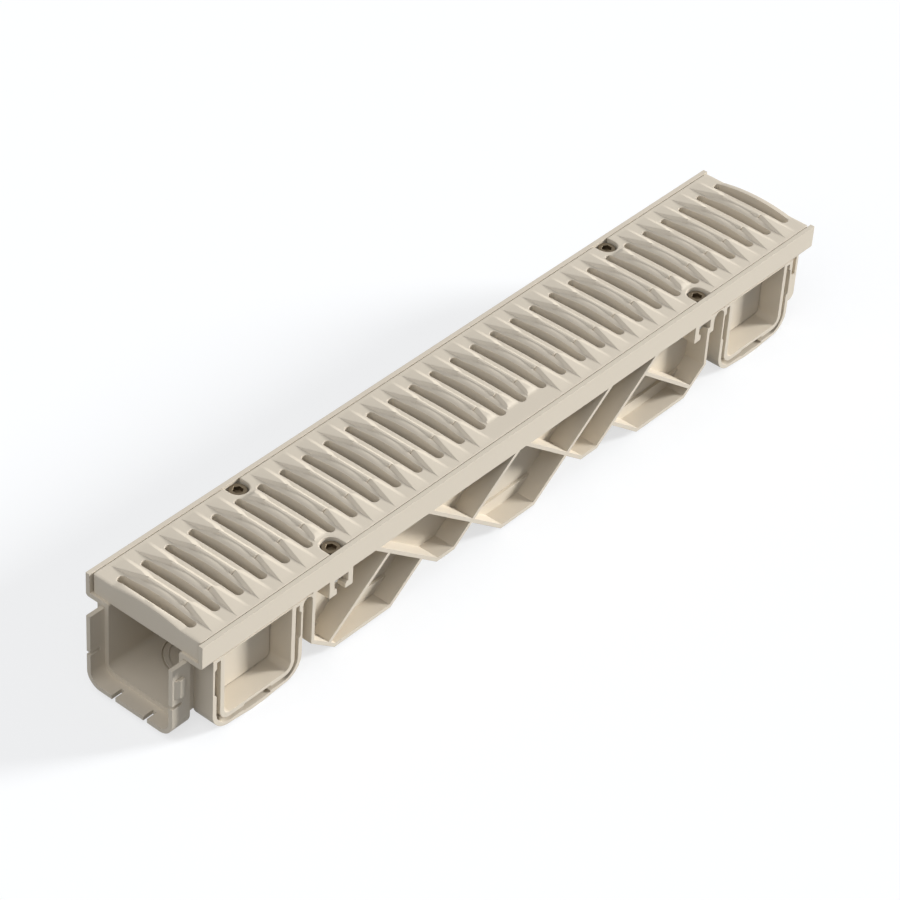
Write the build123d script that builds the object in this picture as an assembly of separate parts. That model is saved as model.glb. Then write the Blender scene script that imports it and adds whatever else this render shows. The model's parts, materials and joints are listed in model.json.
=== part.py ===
from build123d import *
import math
import os

os.makedirs("parts", exist_ok=True)

# Sizes are millimetres. X runs along the channel, Y across it and Z up.
# Everything is drawn from the rim's left end, on the centre line, at the top of the rim,
# and moved at the end so that the origin is at the bottom centre of the whole part.

# Rim with its ledge for the grate
rim_length = 1000.0
rim_width = 160.0
rim_depth = 29.7
rim_wall = 5.4
rim_corner_radius = 3.5
ledge_depth = 24.0
ledge_fillet = 2.5

# Trough
trough_from_rim = 31.4
trough_wall = 5.15
trough_inner_depth = 110.0
trough_floor = 5.6
trough_inner_radius = 9.5

# Collar that slips over the next channel's end
collar_length = 20.0
collar_wall = 5.2
collar_clearance = 0.4
collar_top_depth = 31.0
collar_inner_radius = 13.0
collar_root = 5.0
tab_length = 13.5
tab_slit = 5.0
tab_slit_offset = 22.0
side_slit = 4.0
side_slit_depth = 80.0
lug_height = 3.3
lug_top_depth = 46.0
lug_bottom_depth = 69.0
lug_ramp = 5.5
lug_crest = 6.5

# Side ports with a U frame inside another
port_from_left = 80.0
port_from_right = 99.3
port_inner_wall = 5.6
port_groove = 5.35
port_outer_wall = 5.3
port_outer_floor = 3.5
port_groove_top_depth = 32.5
port_outer_radius = 24.5
port_back = 3.0
port_draft = 5.0
port_foot_height = 3.0
port_foot_half_width = 38.0
port_foot_flat = 16.0
lug_window_depth = 2.8
relief_half_width = 19.4
relief_up = 1.9
relief_down = 1.8

# Lattice under the rim
strip_width = 4.5
strip_angle = 37.3
lattice_from_port = 13.9
lattice_past_screw = 11.05
post_depth = 96.0
big_flat_depth = 124.0
small_flat_depth = 106.0
big_flat_from_post = 36.3
first_diagonal_from_post = 26.7
middle_flat_half_length = 27.7
# Places along half of the lattice, as shares of its length
big_flat_end_share = 0.3735
small_flat_start_share = 0.5925
small_flat_end_share = 0.678
skirt_wall = 4.0

# Guard plates beside the right end
guard_wall = 4.7
guard_gap = 0.6
guard_depth = 108.0
guard_corner_radius = 8.0
guard_window_margin = 1.5

# Knock-outs: a sunk disc inside a ring in the floor, and a panel behind each side port
ring_radius = 36.0
ring_width = 2.2
ring_depth = 1.8
disc_radius = 31.0
disc_depth = 0.8
score_width = 1.4
score_depth = 1.6

# Grate
grate_side_gap = 1.1
grate_end_gap = 3.0
grate_corner_radius = 3.0
crown_height = 5.0
crown_from_rim = 32.8
slot_pitch = 33.35
slot_start = 12.5
slot_width = 10.5
slot_from_rim = 28.0
end_strip_least = 20.0
end_slope_run = 3.9
slot_radius = 4.8
bar_crown_height = 4.3
lip_width = 1.8
lip_drop = 0.8
ridge_start = 6.5
ridge_rise = 1.9
ridge_top = 2.8
ridge_height = 5.2
ridge_slope = 6.6
ramp_height = 5.5
ramp_from_rim = 10.4
ramp_inner_y = 26.5
ramp_outer_start = 0.9
ramp_outer_end = 20.3
ramp_foot = 5.7
finger_overrun = 2.2
finger_radius = 2.4
short_ramp_bevel = 38.0
grate_skin = 5.0
grate_web = 3.2
spine_width = 4.0

# Screws, their recesses and the captive nuts
screw_bars_from_ends = (5, 7)
plain_bars_from_middle = (-1, 0, 1)
screw_from_bar = 11.0
screw_from_rim = 15.7
recess_radius = 12.0
recess_depth = 13.0
head_diameter = 20.0
head_height = 10.0
head_chamfer = 0.8
socket_across_flats = 10.5
socket_depth = 5.5
shank_diameter = 12.0
shank_length = 36.0
shank_chamfer = 1.2
grate_hole_diameter = 13.6
ledge_hole_diameter = 13.6
nut_across_flats = 18.0
nut_height = 10.8
nut_bore = 12.4
nut_side_clearance = 1.3
nut_foot_clearance = 0.6
pocket_pad = 2.9
hook_wall = 7.0
hook_foot = 8.0
hook_reach = 3.9
hook_chamfer = 2.0

# Sizes worked out from those above
half_rim = rim_width / 2
half_inner = half_rim - trough_from_rim
half_outer = half_inner + trough_wall
trough_depth = trough_inner_depth + trough_floor
trough_radius = trough_inner_radius + trough_wall
collar_half_inner = half_outer + collar_clearance
collar_half_outer = collar_half_inner + collar_wall
collar_inner_depth = trough_depth + collar_clearance
port_half_groove = half_outer + port_groove
port_half_outer = port_half_groove + port_outer_wall
port_groove_depth = trough_depth + port_groove + collar_clearance
port_depth = port_groove_depth + port_outer_floor
base_depth = port_depth + port_foot_height
port_centres = (port_from_left, rim_length - port_from_right)
strip_slope = math.tan(math.radians(strip_angle))
strip_rise = strip_width / math.cos(math.radians(strip_angle))
grate_width = rim_width - 2 * rim_wall - 2 * grate_side_gap
grate_end = rim_length - grate_end_gap
crown_half_width = half_rim - crown_from_rim
slot_length = rim_width - 2 * slot_from_rim
slot_count = 1 + int((rim_length - slot_start - end_strip_least) / slot_pitch)
ramp_outer_y = half_rim - ramp_from_rim
middle_bar = slot_count // 2 - 1
plain_front_bars = [middle_bar + step for step in plain_bars_from_middle]
screw_bars = (screw_bars_from_ends[0], slot_count - screw_bars_from_ends[1])
screw_y = half_rim - screw_from_rim
screw_xs = [slot_start + slot_pitch * bar + slot_width + screw_from_bar for bar in screw_bars]
lattice_start = port_centres[0] + port_half_outer + lattice_from_port
lattice_end = screw_xs[1] + lattice_past_screw
lattice_centre = (lattice_start + lattice_end) / 2
lattice_half = lattice_centre - lattice_start
big_flat_start = lattice_start + big_flat_from_post
big_flat_end = lattice_start + big_flat_end_share * lattice_half
small_flat_start = lattice_start + small_flat_start_share * lattice_half
small_flat_end = lattice_start + small_flat_end_share * lattice_half
middle_flat_start = lattice_centre - middle_flat_half_length
first_diagonal_start = lattice_start + first_diagonal_from_post
pocket_top = rim_depth + pocket_pad
foot_top = pocket_top + nut_height + nut_foot_clearance
hook_inner = nut_across_flats / 2 + nut_side_clearance
part_centre_x = (rim_length - collar_length) / 2
over = 1.0
same_place = 0.01


def xz_prism(face, y_low, y_high):
    """A face drawn in X and Z, drawn out between two places across the channel."""
    return Pos(0, y_high, 0) * extrude(Plane.XZ * face, y_high - y_low)


def yz_prism(face, x_low, x_high):
    """A face drawn in Y and Z, drawn out between two places along the channel."""
    return Pos(x_low, 0, 0) * extrude(Plane.YZ * face, x_high - x_low)


def xy_prism(face, z_low, z_high):
    """A face drawn in plan, drawn out between two heights."""
    return Pos(0, 0, z_low) * extrude(face, z_high - z_low)


def block(x_low, x_high, y_low, y_high, z_low, z_high):
    """A plain box between two corners."""
    size = (x_high - x_low, y_high - y_low, z_high - z_low)
    return Pos(x_low, y_low, z_low) * Box(*size, align=(Align.MIN, Align.MIN, Align.MIN))


def polygon(*points):
    """A face with straight sides."""
    return make_face(Polyline(*points, close=True))


def both_sides(shape):
    """The shape at the front with its mirror image at the back."""
    return [shape, mirror(shape, about=Plane.XZ)]


def u_face(half_width, top, bottom, radius):
    """A U outline, filled, with square top corners and round bottom corners."""
    face = Pos(0, (top + bottom) / 2) * Rectangle(2 * half_width, top - bottom)
    return fillet(face.vertices().sort_by(Axis.Y)[:2], radius)


def channel_section():
    """The section of the rim, the ledge and the trough."""
    band = u_face(half_rim, 0, -rim_depth, rim_corner_radius)
    shell = u_face(half_outer, -rim_depth + over, -trough_depth, trough_radius)
    hollow = u_face(half_inner, over, -trough_inner_depth, trough_inner_radius)
    rebate = Pos(0, (over - ledge_depth) / 2) * Rectangle(rim_width - 2 * rim_wall, over + ledge_depth)
    section = band + shell - hollow - rebate
    edges = [v for v in section.vertices()
             if abs(abs(v.X) - half_inner) < same_place and abs(v.Y + ledge_depth) < same_place]
    return fillet(edges, ledge_fillet)


def collar():
    """The left collar, slit into a bottom tongue and two side tabs that carry the snap lugs."""
    outer = u_face(collar_half_outer, -collar_top_depth, -collar_inner_depth - collar_wall,
                   collar_inner_radius + collar_wall)
    inner = u_face(collar_half_inner, over, -collar_inner_depth, collar_inner_radius)
    hollow = u_face(half_inner, over, -trough_inner_depth, trough_inner_radius)
    shape = yz_prism(outer, -collar_length, collar_root)
    shape -= yz_prism(inner, -collar_length - over, 0)
    shape -= yz_prism(hollow, -over, collar_root + over)
    slit_end = -collar_length + tab_length
    for y in (-tab_slit_offset, tab_slit_offset):
        shape -= block(-collar_length - over, slit_end, y - tab_slit / 2, y + tab_slit / 2,
                       -collar_inner_depth - 2 * collar_wall, -collar_inner_depth + collar_wall)
    shape -= block(-collar_length - over, slit_end, -half_rim, half_rim,
                   -side_slit_depth - side_slit / 2, -side_slit_depth + side_slit / 2)
    crest_end = slit_end + over
    crest_start = crest_end - lug_crest
    foot = -collar_half_outer + over
    lug = xy_prism(
        polygon((crest_start - lug_ramp, foot), (crest_start - lug_ramp, -collar_half_outer),
                (crest_start, -collar_half_outer - lug_height),
                (crest_end, -collar_half_outer - lug_height), (crest_end, foot)),
        -lug_bottom_depth, -lug_top_depth)
    return [shape] + both_sides(lug)


def port_frame(centre):
    """One side port at the front: an outer U and an inner U with a groove between them."""
    outer = u_face(port_half_outer, -rim_depth + over, -port_depth, port_outer_radius)
    groove = u_face(port_half_groove, -port_groove_top_depth, -port_groove_depth,
                    port_outer_radius - port_outer_floor)
    inner = u_face(half_outer, -rim_depth + over, -trough_depth, trough_radius)
    opening = u_face(half_outer - port_inner_wall, -rim_depth, -trough_inner_depth, trough_inner_radius)
    foot = polygon((-port_foot_half_width, -port_depth), (-port_foot_flat / 2, -base_depth),
                   (port_foot_flat / 2, -base_depth), (port_foot_half_width, -port_depth),
                   (port_foot_half_width - over, -port_depth + over),
                   (-port_foot_half_width + over, -port_depth + over))
    front = -half_rim
    back = -half_outer
    shape = xz_prism(outer, front, back + over)
    shape += xz_prism(foot, front, back + over)
    shape -= xz_prism(groove, front - over, back - port_back)
    shape += xz_prism(inner, front, back + over)
    mouth = Pos(0, front, 0) * extrude(Plane.XZ * opening, -(back - front), taper=port_draft)
    shape -= mouth
    window = polygon((port_half_groove - over, -lug_top_depth + 2 * lug_window_depth + over),
                     (port_half_groove + lug_window_depth, -lug_top_depth + lug_window_depth),
                     (port_half_groove + lug_window_depth, -lug_bottom_depth - 2 * lug_window_depth),
                     (port_half_groove - over, -lug_bottom_depth - 3 * lug_window_depth - over))
    cut = xz_prism(window, front - over, back - port_back)
    shape -= cut
    shape -= mirror(cut, about=Plane.YZ)
    shape -= block(-relief_half_width, relief_half_width, front - over, back - port_back,
                   -port_groove_depth - relief_down, -trough_depth + relief_up)
    return Pos(centre, 0, 0) * shape


def valley(left, right):
    """Where a line rising from the left point meets a line falling to the right point."""
    x = (right[1] - left[1]) / (2 * strip_slope) + (left[0] + right[0]) / 2
    return (x, left[1] + strip_slope * (x - left[0]))


def mirrored(points):
    """Points of the left half, seen in the lattice's centre line, in reverse order."""
    return [(2 * lattice_centre - x, z) for x, z in reversed(points)]


def lattice_outline():
    """The filled outline of the lattice, from the left post to the right one."""
    big_end = (big_flat_end, -big_flat_depth)
    small_start = (small_flat_start, -small_flat_depth)
    small_end = (small_flat_end, -small_flat_depth)
    middle = (middle_flat_start, -big_flat_depth)
    half = [(lattice_start, -rim_depth + strip_width), (lattice_start, -post_depth),
            (big_flat_start, -big_flat_depth), big_end, valley(big_end, small_start),
            small_start, small_end, valley(small_end, middle), middle]
    return polygon(*half, *mirrored(half))


def diagonal(start, end):
    """A slanting strip above the line between two points of its lower edge."""
    return polygon(start, end, (end[0], end[1] + strip_rise), (start[0], start[1] + strip_rise))


def lattice():
    """The strips under the rim at the front, with the skirt behind the deep cells."""
    top = -rim_depth
    outline = lattice_outline()
    small_start = (small_flat_start, -small_flat_depth)
    second = (small_flat_start - (top + small_flat_depth) / strip_slope, top)
    third = (middle_flat_start - (top + big_flat_depth) / strip_slope, top)
    fourth = (small_flat_end + (top + small_flat_depth) / strip_slope, top)
    post_slope = (big_flat_depth - post_depth) / (big_flat_start - lattice_start)
    first = (first_diagonal_start, -post_depth - post_slope * (first_diagonal_start - lattice_start))
    lines = [(first, valley(first, small_start)), (second, small_start),
             (third, (middle_flat_start, -big_flat_depth)),
             ((small_flat_end, -small_flat_depth), fourth)]
    strips = outline - offset(outline, -strip_width, kind=Kind.INTERSECTION)
    for start, end in lines:
        strips += diagonal(start, end)
        strips += diagonal(*mirrored([start, end]))
    front = xz_prism(strips, -half_rim, -half_outer + over)
    low = block(0, rim_length, -half_outer - skirt_wall + over, -half_outer + over,
                -big_flat_depth, -trough_depth + trough_radius - skirt_wall)
    skirt = xz_prism(outline, -half_rim, -half_outer + over) & low
    return [front, skirt]


def nut_pocket(screw_x):
    """Two hooks and a pad under the ledge that hold a nut."""
    hook = polygon((hook_inner, -rim_depth + over), (hook_inner + hook_wall, -rim_depth + over),
                   (hook_inner + hook_wall, -foot_top - hook_foot),
                   (hook_inner - hook_reach, -foot_top - hook_foot),
                   (hook_inner - hook_reach, -foot_top - hook_chamfer),
                   (hook_inner - hook_reach + hook_chamfer, -foot_top), (hook_inner, -foot_top))
    pad = polygon((-hook_inner - over, -rim_depth + over), (hook_inner + over, -rim_depth + over),
                  (hook_inner + over, -pocket_top), (-hook_inner - over, -pocket_top))
    right = xz_prism(hook, -half_rim, -half_outer + over)
    shapes = [right, mirror(right, about=Plane.YZ), xz_prism(pad, -half_rim, -half_outer + over)]
    return [Pos(screw_x, 0, 0) * shape for shape in shapes]


def nut_space(screw_x):
    """The space between the hooks, which also runs through the lattice post beside it."""
    return block(screw_x - hook_inner, screw_x + hook_inner, -half_rim - over, -half_outer,
                 -foot_top, -pocket_top)


def arch(x_low, x_high):
    """The round top of the gap between a port and what stands next to it."""
    radius = (x_high - x_low) / 2
    middle = (x_low + x_high) / 2
    top = Pos(middle, -rim_depth - radius / 2) * Rectangle(2 * radius + over, radius + over)
    top -= Pos(middle, -rim_depth - radius) * Circle(radius)
    return xz_prism(top, -half_rim, -half_outer + over)


def guard_plate():
    """The plate outside the right end, with a window for the next collar's lug."""
    inner = -collar_half_outer - guard_gap
    start = rim_length - port_from_right + port_half_outer - over
    face = polygon((start, -rim_depth + over), (start, -guard_depth), (rim_length, -guard_depth),
                   (rim_length, -rim_depth + over))
    corner = face.vertices().sort_by(Axis.Y)[:2].sort_by(Axis.X)[-1]
    face = fillet(corner, guard_corner_radius)
    plate = xz_prism(face, inner - guard_wall, inner)
    crest_end = rim_length - collar_length + tab_length + over
    window = block(crest_end - lug_crest - guard_window_margin, crest_end + guard_window_margin,
                   inner - guard_wall - over, inner + over,
                   -lug_bottom_depth - 2 * guard_window_margin, -lug_top_depth + guard_window_margin)
    return plate - window


def floor_knock_out(centre):
    """The score line and the sunk disc of the round knock-out in the floor."""
    ring = Circle(ring_radius + ring_width) - Circle(ring_radius)
    score = xy_prism(ring, -trough_inner_depth - ring_depth, -trough_inner_depth + over)
    disc = xy_prism(Circle(disc_radius), -trough_inner_depth - disc_depth, -trough_inner_depth + over)
    return [Pos(centre, 0, 0) * shape for shape in (score, disc)]


def panel_outline(inset):
    """The outline of the panel that closes a side port, drawn in by a distance."""
    inset += (half_rim - half_outer) * math.tan(math.radians(port_draft))
    return u_face(half_outer - port_inner_wall - inset, -rim_depth - inset, -trough_inner_depth + inset,
                  trough_inner_radius - inset)


def port_knock_out(centre):
    """The score line round the panel behind a side port at the front."""
    score = panel_outline(0) - panel_outline(score_width)
    return Pos(centre, 0, 0) * xz_prism(score, -half_outer - over, -half_outer + score_depth)


def channel_body():
    """The whole moulded channel."""
    front = [port_frame(centre) for centre in port_centres]
    front += lattice()
    for screw_x in screw_xs:
        front += nut_pocket(screw_x)
    front.append(arch(port_centres[0] + port_half_outer, lattice_start))
    front.append(arch(screw_xs[1] + hook_inner + hook_wall, port_centres[1] - port_half_outer))
    front.append(guard_plate())
    back = [mirror(shape, about=Plane.XZ) for shape in front]
    body = yz_prism(channel_section(), 0, rim_length)
    body = body.fuse(*collar(), *front, *back)
    cuts = []
    for centre in port_centres:
        cuts += floor_knock_out(centre)
        cuts += both_sides(port_knock_out(centre))
    for screw_x in screw_xs:
        cuts += both_sides(nut_space(screw_x))
        for y in (-screw_y, screw_y):
            hole = Circle(ledge_hole_diameter / 2)
            cuts.append(Pos(screw_x, y, 0) * xy_prism(hole, -pocket_top - over, -ledge_depth + over))
    return body.cut(*cuts)


def crown_face(height):
    """The slice of a circle that a crown adds above the flat of the grate."""
    arc = ThreePointArc((-crown_half_width, 0), (0, height), (crown_half_width, 0))
    return make_face(arc + Line((crown_half_width, 0), (-crown_half_width, 0)))


def pyramid(base, apex):
    """A solid with a flat four-cornered base and one point at the top."""
    tip = Vector(*apex)
    corners = [Vector(*point) for point in base]
    faces = [Face(Wire.make_polygon(corners))]
    for first, second in zip(corners, corners[1:] + corners[:1]):
        faces.append(Face(Wire.make_polygon([first, second, tip])))
    return Solid(Shell(faces))


def ramp(short):
    """One front ramp of a bar: it climbs from the flat margin to a point beside the ridge."""
    base_left = (ramp_outer_start, -ramp_outer_y, 0)
    base_right = (ramp_outer_end, -ramp_outer_y, 0)
    foot_right = (ridge_start + ridge_rise + ridge_top + ridge_slope, -ramp_inner_y, 0)
    foot_left = (ramp_foot, -ramp_inner_y, 0)
    apex = (ridge_start + ridge_rise + ridge_top, -ramp_inner_y, ramp_height)
    shape = pyramid([base_left, base_right, foot_right, foot_left], apex)
    if short:
        run = ramp_height / math.tan(math.radians(short_ramp_bevel))
        cut = polygon((-half_inner, 0), (-half_inner + run, ramp_height),
                      (-ramp_outer_y - over, ramp_height), (-ramp_outer_y - over, 0))
        shape -= yz_prism(cut, -slot_pitch, slot_pitch)
    return shape


def finger():
    """The front hollow beside a ramp, with a round end towards the ridge."""
    start = -crown_half_width - over
    end = -ramp_inner_y + finger_overrun
    share = (ramp_outer_y + start) / (ramp_outer_y - ramp_inner_y)
    left = ramp_outer_start + share * (ramp_foot - ramp_outer_start)
    right = ridge_start + ridge_rise
    face = polygon((left, start), (ramp_foot - over / 2, end), (right, end), (right, start))
    corner = face.vertices().sort_by(Axis.Y)[-2:].sort_by(Axis.X)[0]
    face = fillet(corner, finger_radius)
    return xy_prism(face, 0, 2 * ramp_height)


def bar_top(short_front, short_back):
    """All that stands above the flat of one bar, drawn from the slot on its left."""
    lip = yz_prism(crown_face(bar_crown_height - lip_drop), 0, lip_width)
    land = yz_prism(crown_face(bar_crown_height), lip_width, ridge_start + ridge_rise / 2)
    ridge = xz_prism(
        polygon((ridge_start, 0), (ridge_start, bar_crown_height / 2),
                (ridge_start + ridge_rise, ridge_height),
                (ridge_start + ridge_rise + ridge_top, ridge_height),
                (ridge_start + ridge_rise + ridge_top + ridge_slope, 0)),
        -ramp_inner_y, ramp_inner_y)
    shape = lip + land
    shape -= finger()
    shape -= mirror(finger(), about=Plane.XZ)
    return shape + ridge + ramp(short_front) + mirror(ramp(short_back), about=Plane.XZ)


def grate_plate():
    """The flat plate of the grate with the crown of its two end strips."""
    length = grate_end - grate_end_gap
    plan = Pos(grate_end_gap + length / 2, 0) * RectangleRounded(length, grate_width, grate_corner_radius)
    plate = xy_prism(plan, -ledge_depth, 0)
    slope = ridge_slope / ridge_height
    left_end = slot_start + over
    left = yz_prism(crown_face(crown_height), grate_end_gap, left_end)
    start = slot_start - end_slope_run
    cut = polygon((start, crown_height), (left_end, crown_height - (left_end - start) / slope),
                  (left_end, 2 * crown_height), (start, 2 * crown_height))
    left -= xz_prism(cut, -half_rim, half_rim)
    right = yz_prism(crown_face(crown_height), slot_start + slot_pitch * (slot_count - 1), grate_end)
    return plate.fuse(left, right)


def slot():
    """One cross slot, drawn from its left edge."""
    plan = Pos(slot_width / 2, 0) * RectangleRounded(slot_width, slot_length, slot_radius)
    return xy_prism(plan, -ledge_depth - over, 2 * ramp_height)


def bar_pocket():
    """The two hollows under a bar, either side of the spine."""
    face = polygon((slot_width + grate_web, -ledge_depth - over), (slot_width + grate_web, -grate_skin),
                   (slot_pitch - grate_web, -grate_skin), (slot_pitch - grate_web, -ledge_depth - over))
    return xz_prism(face, -half_inner + grate_web, -spine_width / 2)


def screw_recess(screw_x):
    """The recess for a screw head at the grate's front edge, with the screw's hole."""
    edge = -grate_width / 2 - over
    plan = Circle(recess_radius) + Pos(0, (edge + screw_y) / 2) * Rectangle(2 * recess_radius,
                                                                        -edge - screw_y)
    well = xy_prism(plan, -recess_depth, crown_height)
    hole = xy_prism(Circle(grate_hole_diameter / 2), -ledge_depth - over, 0)
    return Pos(screw_x, -screw_y, 0) * (well + hole)


def grate():
    """The moulded grate."""
    bars = {}
    tops = []
    pockets = []
    for index in range(slot_count - 1):
        short_front = index in screw_bars or index in plain_front_bars
        short_back = index in screw_bars
        if (short_front, short_back) not in bars:
            bars[(short_front, short_back)] = bar_top(short_front, short_back)
        bar_x = slot_start + slot_pitch * index
        tops.append(Pos(bar_x + slot_width, 0, 0) * bars[(short_front, short_back)])
        pockets += [Pos(bar_x, 0, 0) * shape for shape in both_sides(bar_pocket())]
    slots = [Pos(slot_start + slot_pitch * index, 0, 0) * slot() for index in range(slot_count)]
    recesses = []
    for screw_x in screw_xs:
        recesses += both_sides(screw_recess(screw_x))
    shape = grate_plate().fuse(*tops)
    return shape.cut(*slots, *pockets, *recesses)


def hexagon(across_flats):
    """A hexagon with two flats facing along X."""
    return Rot(0, 0, 30) * RegularPolygon(across_flats / math.sqrt(3), 6)


def screw():
    """A socket head screw standing on the floor of its recess."""
    head = Cylinder(head_diameter / 2, head_height, align=(Align.CENTER, Align.CENTER, Align.MIN))
    head = chamfer(head.edges().sort_by(Axis.Z)[-1], head_chamfer)
    shank = Cylinder(shank_diameter / 2, shank_length, align=(Align.CENTER, Align.CENTER, Align.MAX))
    shank = chamfer(shank.edges().sort_by(Axis.Z)[0], shank_chamfer)
    socket = xy_prism(hexagon(socket_across_flats), head_height - socket_depth, head_height + over)
    return Pos(0, 0, -recess_depth) * (head + shank - socket)


def nut():
    """A hexagon nut pulled up against the top of its pocket."""
    shape = xy_prism(hexagon(nut_across_flats) - Circle(nut_bore / 2), -nut_height, 0)
    return Pos(0, 0, -pocket_top) * shape


def save(shape, name):
    """Move a shape to the part's own frame and write it."""
    placed = Pos(-part_centre_x, 0, base_depth) * shape
    placed.label = name
    export_step(placed, "parts/" + name + ".step")


save(channel_body(), "channel_body")
save(grate(), "grate")
for side_name, side_y in (("front", -screw_y), ("back", screw_y)):
    for end_name, end_x in zip(("left", "right"), screw_xs):
        save(Pos(end_x, side_y, 0) * screw(), "screw_" + side_name + "_" + end_name)
        save(Pos(end_x, side_y, 0) * nut(), "nut_" + side_name + "_" + end_name)
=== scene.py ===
import json
import math

import bmesh
import bpy
from bpy.props import FloatProperty, IntProperty, PointerProperty, StringProperty
from mathutils import Matrix, Vector

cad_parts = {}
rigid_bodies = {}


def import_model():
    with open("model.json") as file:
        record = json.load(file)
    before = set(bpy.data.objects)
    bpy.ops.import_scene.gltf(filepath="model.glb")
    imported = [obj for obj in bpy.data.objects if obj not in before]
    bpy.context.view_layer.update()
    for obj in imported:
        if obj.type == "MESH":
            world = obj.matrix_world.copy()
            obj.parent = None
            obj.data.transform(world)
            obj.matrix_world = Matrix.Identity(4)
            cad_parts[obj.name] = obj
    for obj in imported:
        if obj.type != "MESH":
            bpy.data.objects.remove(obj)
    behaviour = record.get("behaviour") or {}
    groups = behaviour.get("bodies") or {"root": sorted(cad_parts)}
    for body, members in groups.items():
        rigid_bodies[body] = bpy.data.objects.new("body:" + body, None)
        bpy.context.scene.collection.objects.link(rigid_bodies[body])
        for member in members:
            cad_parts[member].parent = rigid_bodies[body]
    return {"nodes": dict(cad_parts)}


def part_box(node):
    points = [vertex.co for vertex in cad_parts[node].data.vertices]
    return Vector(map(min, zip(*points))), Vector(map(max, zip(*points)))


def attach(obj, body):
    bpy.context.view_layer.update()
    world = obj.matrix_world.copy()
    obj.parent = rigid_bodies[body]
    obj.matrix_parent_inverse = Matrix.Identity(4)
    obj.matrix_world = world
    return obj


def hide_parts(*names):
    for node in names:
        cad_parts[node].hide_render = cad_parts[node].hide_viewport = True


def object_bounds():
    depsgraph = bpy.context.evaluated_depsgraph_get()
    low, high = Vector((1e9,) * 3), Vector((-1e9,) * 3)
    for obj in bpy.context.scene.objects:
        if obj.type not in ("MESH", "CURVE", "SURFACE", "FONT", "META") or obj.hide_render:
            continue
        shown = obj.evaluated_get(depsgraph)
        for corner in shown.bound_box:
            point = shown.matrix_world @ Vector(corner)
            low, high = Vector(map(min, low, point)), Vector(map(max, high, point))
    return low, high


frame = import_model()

bl_info = {
    "name": "Channel drain",
    "version": (1, 0, 0),
    "blender": (4, 5, 0),
    "location": "3D View > Sidebar > Channel drain",
    "description": "Dresses a 1 m plastic channel drain with its slotted grate and fixings",
    "category": "Object",
}

# Lengths are metres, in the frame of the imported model.
# X runs along the channel, Y across it and Z up, and the front is at -Y.
MM = 0.001
CAD_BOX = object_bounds()

SCREW_NODES = ("screw_front_left", "screw_front_right", "screw_back_left", "screw_back_right")
NUT_NODES = ("nut_front_left", "nut_front_right", "nut_back_left", "nut_back_right")


def middle(node):
    """The middle of a node's box."""
    low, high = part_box(node)
    return (Vector(low) + Vector(high)) / 2


def size(node):
    """The length, width and height of a node's box."""
    low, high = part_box(node)
    return Vector(high) - Vector(low)


# Bars of the grate, counted from the left, that end short at a screw or at the bare margin in front
SCREW_BARS = (5, 23)
PLAIN_BARS = (13, 15)
# Each kind of bar: its name, whether its front ramp is short, and whether its back ramp is
BAR_KINDS = (("bar_a_full", False, False), ("bar_b_screw", True, True), ("bar_c_plain", True, False))

# Millimetres on one bar: along the channel from the slot on the bar's left, across from the
# channel's centre line and up from the rim's top.
# The ridge in the bar's middle, with its riser on the left, its flat top and its slope on the right
RIDGE_START = 6.5
RIDGE_RISE = 1.9
RIDGE_TOP = 3.3
RIDGE_SLOPE = 5.7
RIDGE_CREST = RIDGE_START + RIDGE_RISE + RIDGE_TOP
BASE_CROWN = 0.9
# The crowned land between the slot and the ridge, which falls to a lip at the slot
LIP_WIDTH = 4.6
LIP_DROP = 1.5
LIP_CURVE = 1.5
FOOT_BEFORE = 0.1
FOOT_AFTER = 0.25
LEAST_LAND = 0.05
# The fingers, where the land ends across the channel
FINGER_END = 24.3
FINGER_ROUND = 1.2
FOOT_TURN = 1.5
# The ramps to the front and to the back, from the ridge's end out to the margin
RAMP_INNER = 26.5
RAMP_OUTER = 69.6
FACE_BEFORE = 0.4
FACE_AFTER = 0.2
RAMP_START = 0.9
RAMP_END = 20.7
RAMP_SIDE = 3.0
RAMP_RISER = 0.9
RISER_SLOPE = 4.5
RAMP_FOOT = 5.7
SIDE_TURN = 24.0
FRONT_SIDE_RUN = 5.0
BACK_SIDE_RUN = 15.0
SHORT_BEVEL = math.radians(38)
SHORT_BEVEL_GAP = 1.4
# The grate's two ends
END_SLOPE_RUN = 3.9
END_ROUND = 1.8
CORNER_RADIUS = 3.0

# Mesh lines round a slot's end, sides of a screw's hole, and the angle past which the edges of the
# grate and of the fixings stay crisp
SLOT_END_LINES = 14
HOLE_SIDES = 24
SHARP_ANGLE = math.radians(40)

# Metres from here on, and points nearer than the first of them become one
MERGE_DISTANCE = 0.01 * MM
RIM_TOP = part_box("channel_body")[1][2]
# The hollows under the bars
GRATE_SKIN = 5.0 * MM
GRATE_WEB = 3.2 * MM
SPINE_WIDTH = 4.0 * MM
POCKET_END = 45.4 * MM
# The recesses and the holes for the screws, and how far a cut goes past the face that it opens
RECESS_RADIUS = 12.0 * MM
RECESS_DEPTH = 13.0 * MM
RECESS_RIM = 1.0 * MM
RECESS_TOP = 8.0 * MM
HOLE_RADIUS = 6.8 * MM
HOLE_BOTTOM = 30.0 * MM
CUT_PAST = 2.0 * MM
# The pointed end of a screw's socket
SOCKET_TIP_RADIUS = 0.3 * MM
SOCKET_TIP_DEPTH = 1.0 * MM
# A nut's bore and its chamfers, which start at a share of its half width and rise by a slope
NUT_BORE_PLAY = 0.2 * MM
NUT_CHAMFER = 0.8 * MM
NUT_FACE = 0.97
NUT_CHAMFER_SLOPE = math.tan(math.radians(30))
# The clouds and the grain of the moulded plastic
CLOUD_SIZE = 120.0 * MM
GRAIN_SIZE = 0.9 * MM
GRAIN_DEPTH = 0.05 * MM

# Sizes and colours that a user would change


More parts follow.
